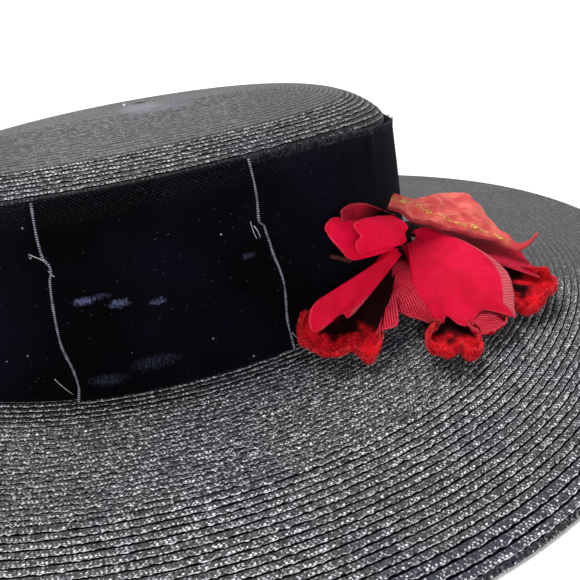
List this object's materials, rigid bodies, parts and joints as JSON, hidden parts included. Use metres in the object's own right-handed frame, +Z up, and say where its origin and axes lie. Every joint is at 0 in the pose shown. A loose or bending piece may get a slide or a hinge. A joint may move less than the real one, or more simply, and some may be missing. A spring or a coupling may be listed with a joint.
{
  "type": "boater hat",
  "caption": "Wide-brimmed black straw boater hat with a deep velvet band, a flat velvet tab and a spray of red cloth petals with a leaf.",
  "frame": {"origin": "on the floor under the middle of the brim, with the hat standing on the edge of its brim", "axes": "+Z up through the crown, +X along the long axis of the oval head opening towards the flower spray, -Y towards the velvet tab"},
  "size_m": [0.4136, 0.3688, 0.0943],
  "materials": {
    "straw": "sewn straw braid, lacquered black with a glossy sparkle",
    "velvet": "deep navy-black silk velvet",
    "petal_satin": "stiffened crimson satin",
    "petal_velvet": "bright red velvet with a fuzzy edge",
    "leaf_cloth": "coral red cloth with gilt veins",
    "stem": "brown paper-wound wire"
  },
  "bodies": {
    "root": {"crown": "straw", "brim": "straw", "band": "velvet", "tab": "velvet", "satin_petal": "petal_satin", "leaf": "leaf_cloth", "bud_front_petal": "petal_satin", "bud_back_petal": "petal_satin", "bud_outer_petal": "petal_satin", "long_petal": "petal_satin", "lower_left_petal": "petal_velvet", "triangle_petal": "petal_satin", "woven_petal": "petal_satin", "fold_petal": "petal_satin", "curl_petal": "petal_velvet", "back_petal": "petal_satin", "right_petal": "petal_velvet", "stem": "stem"}
  },
  "joints": []
}
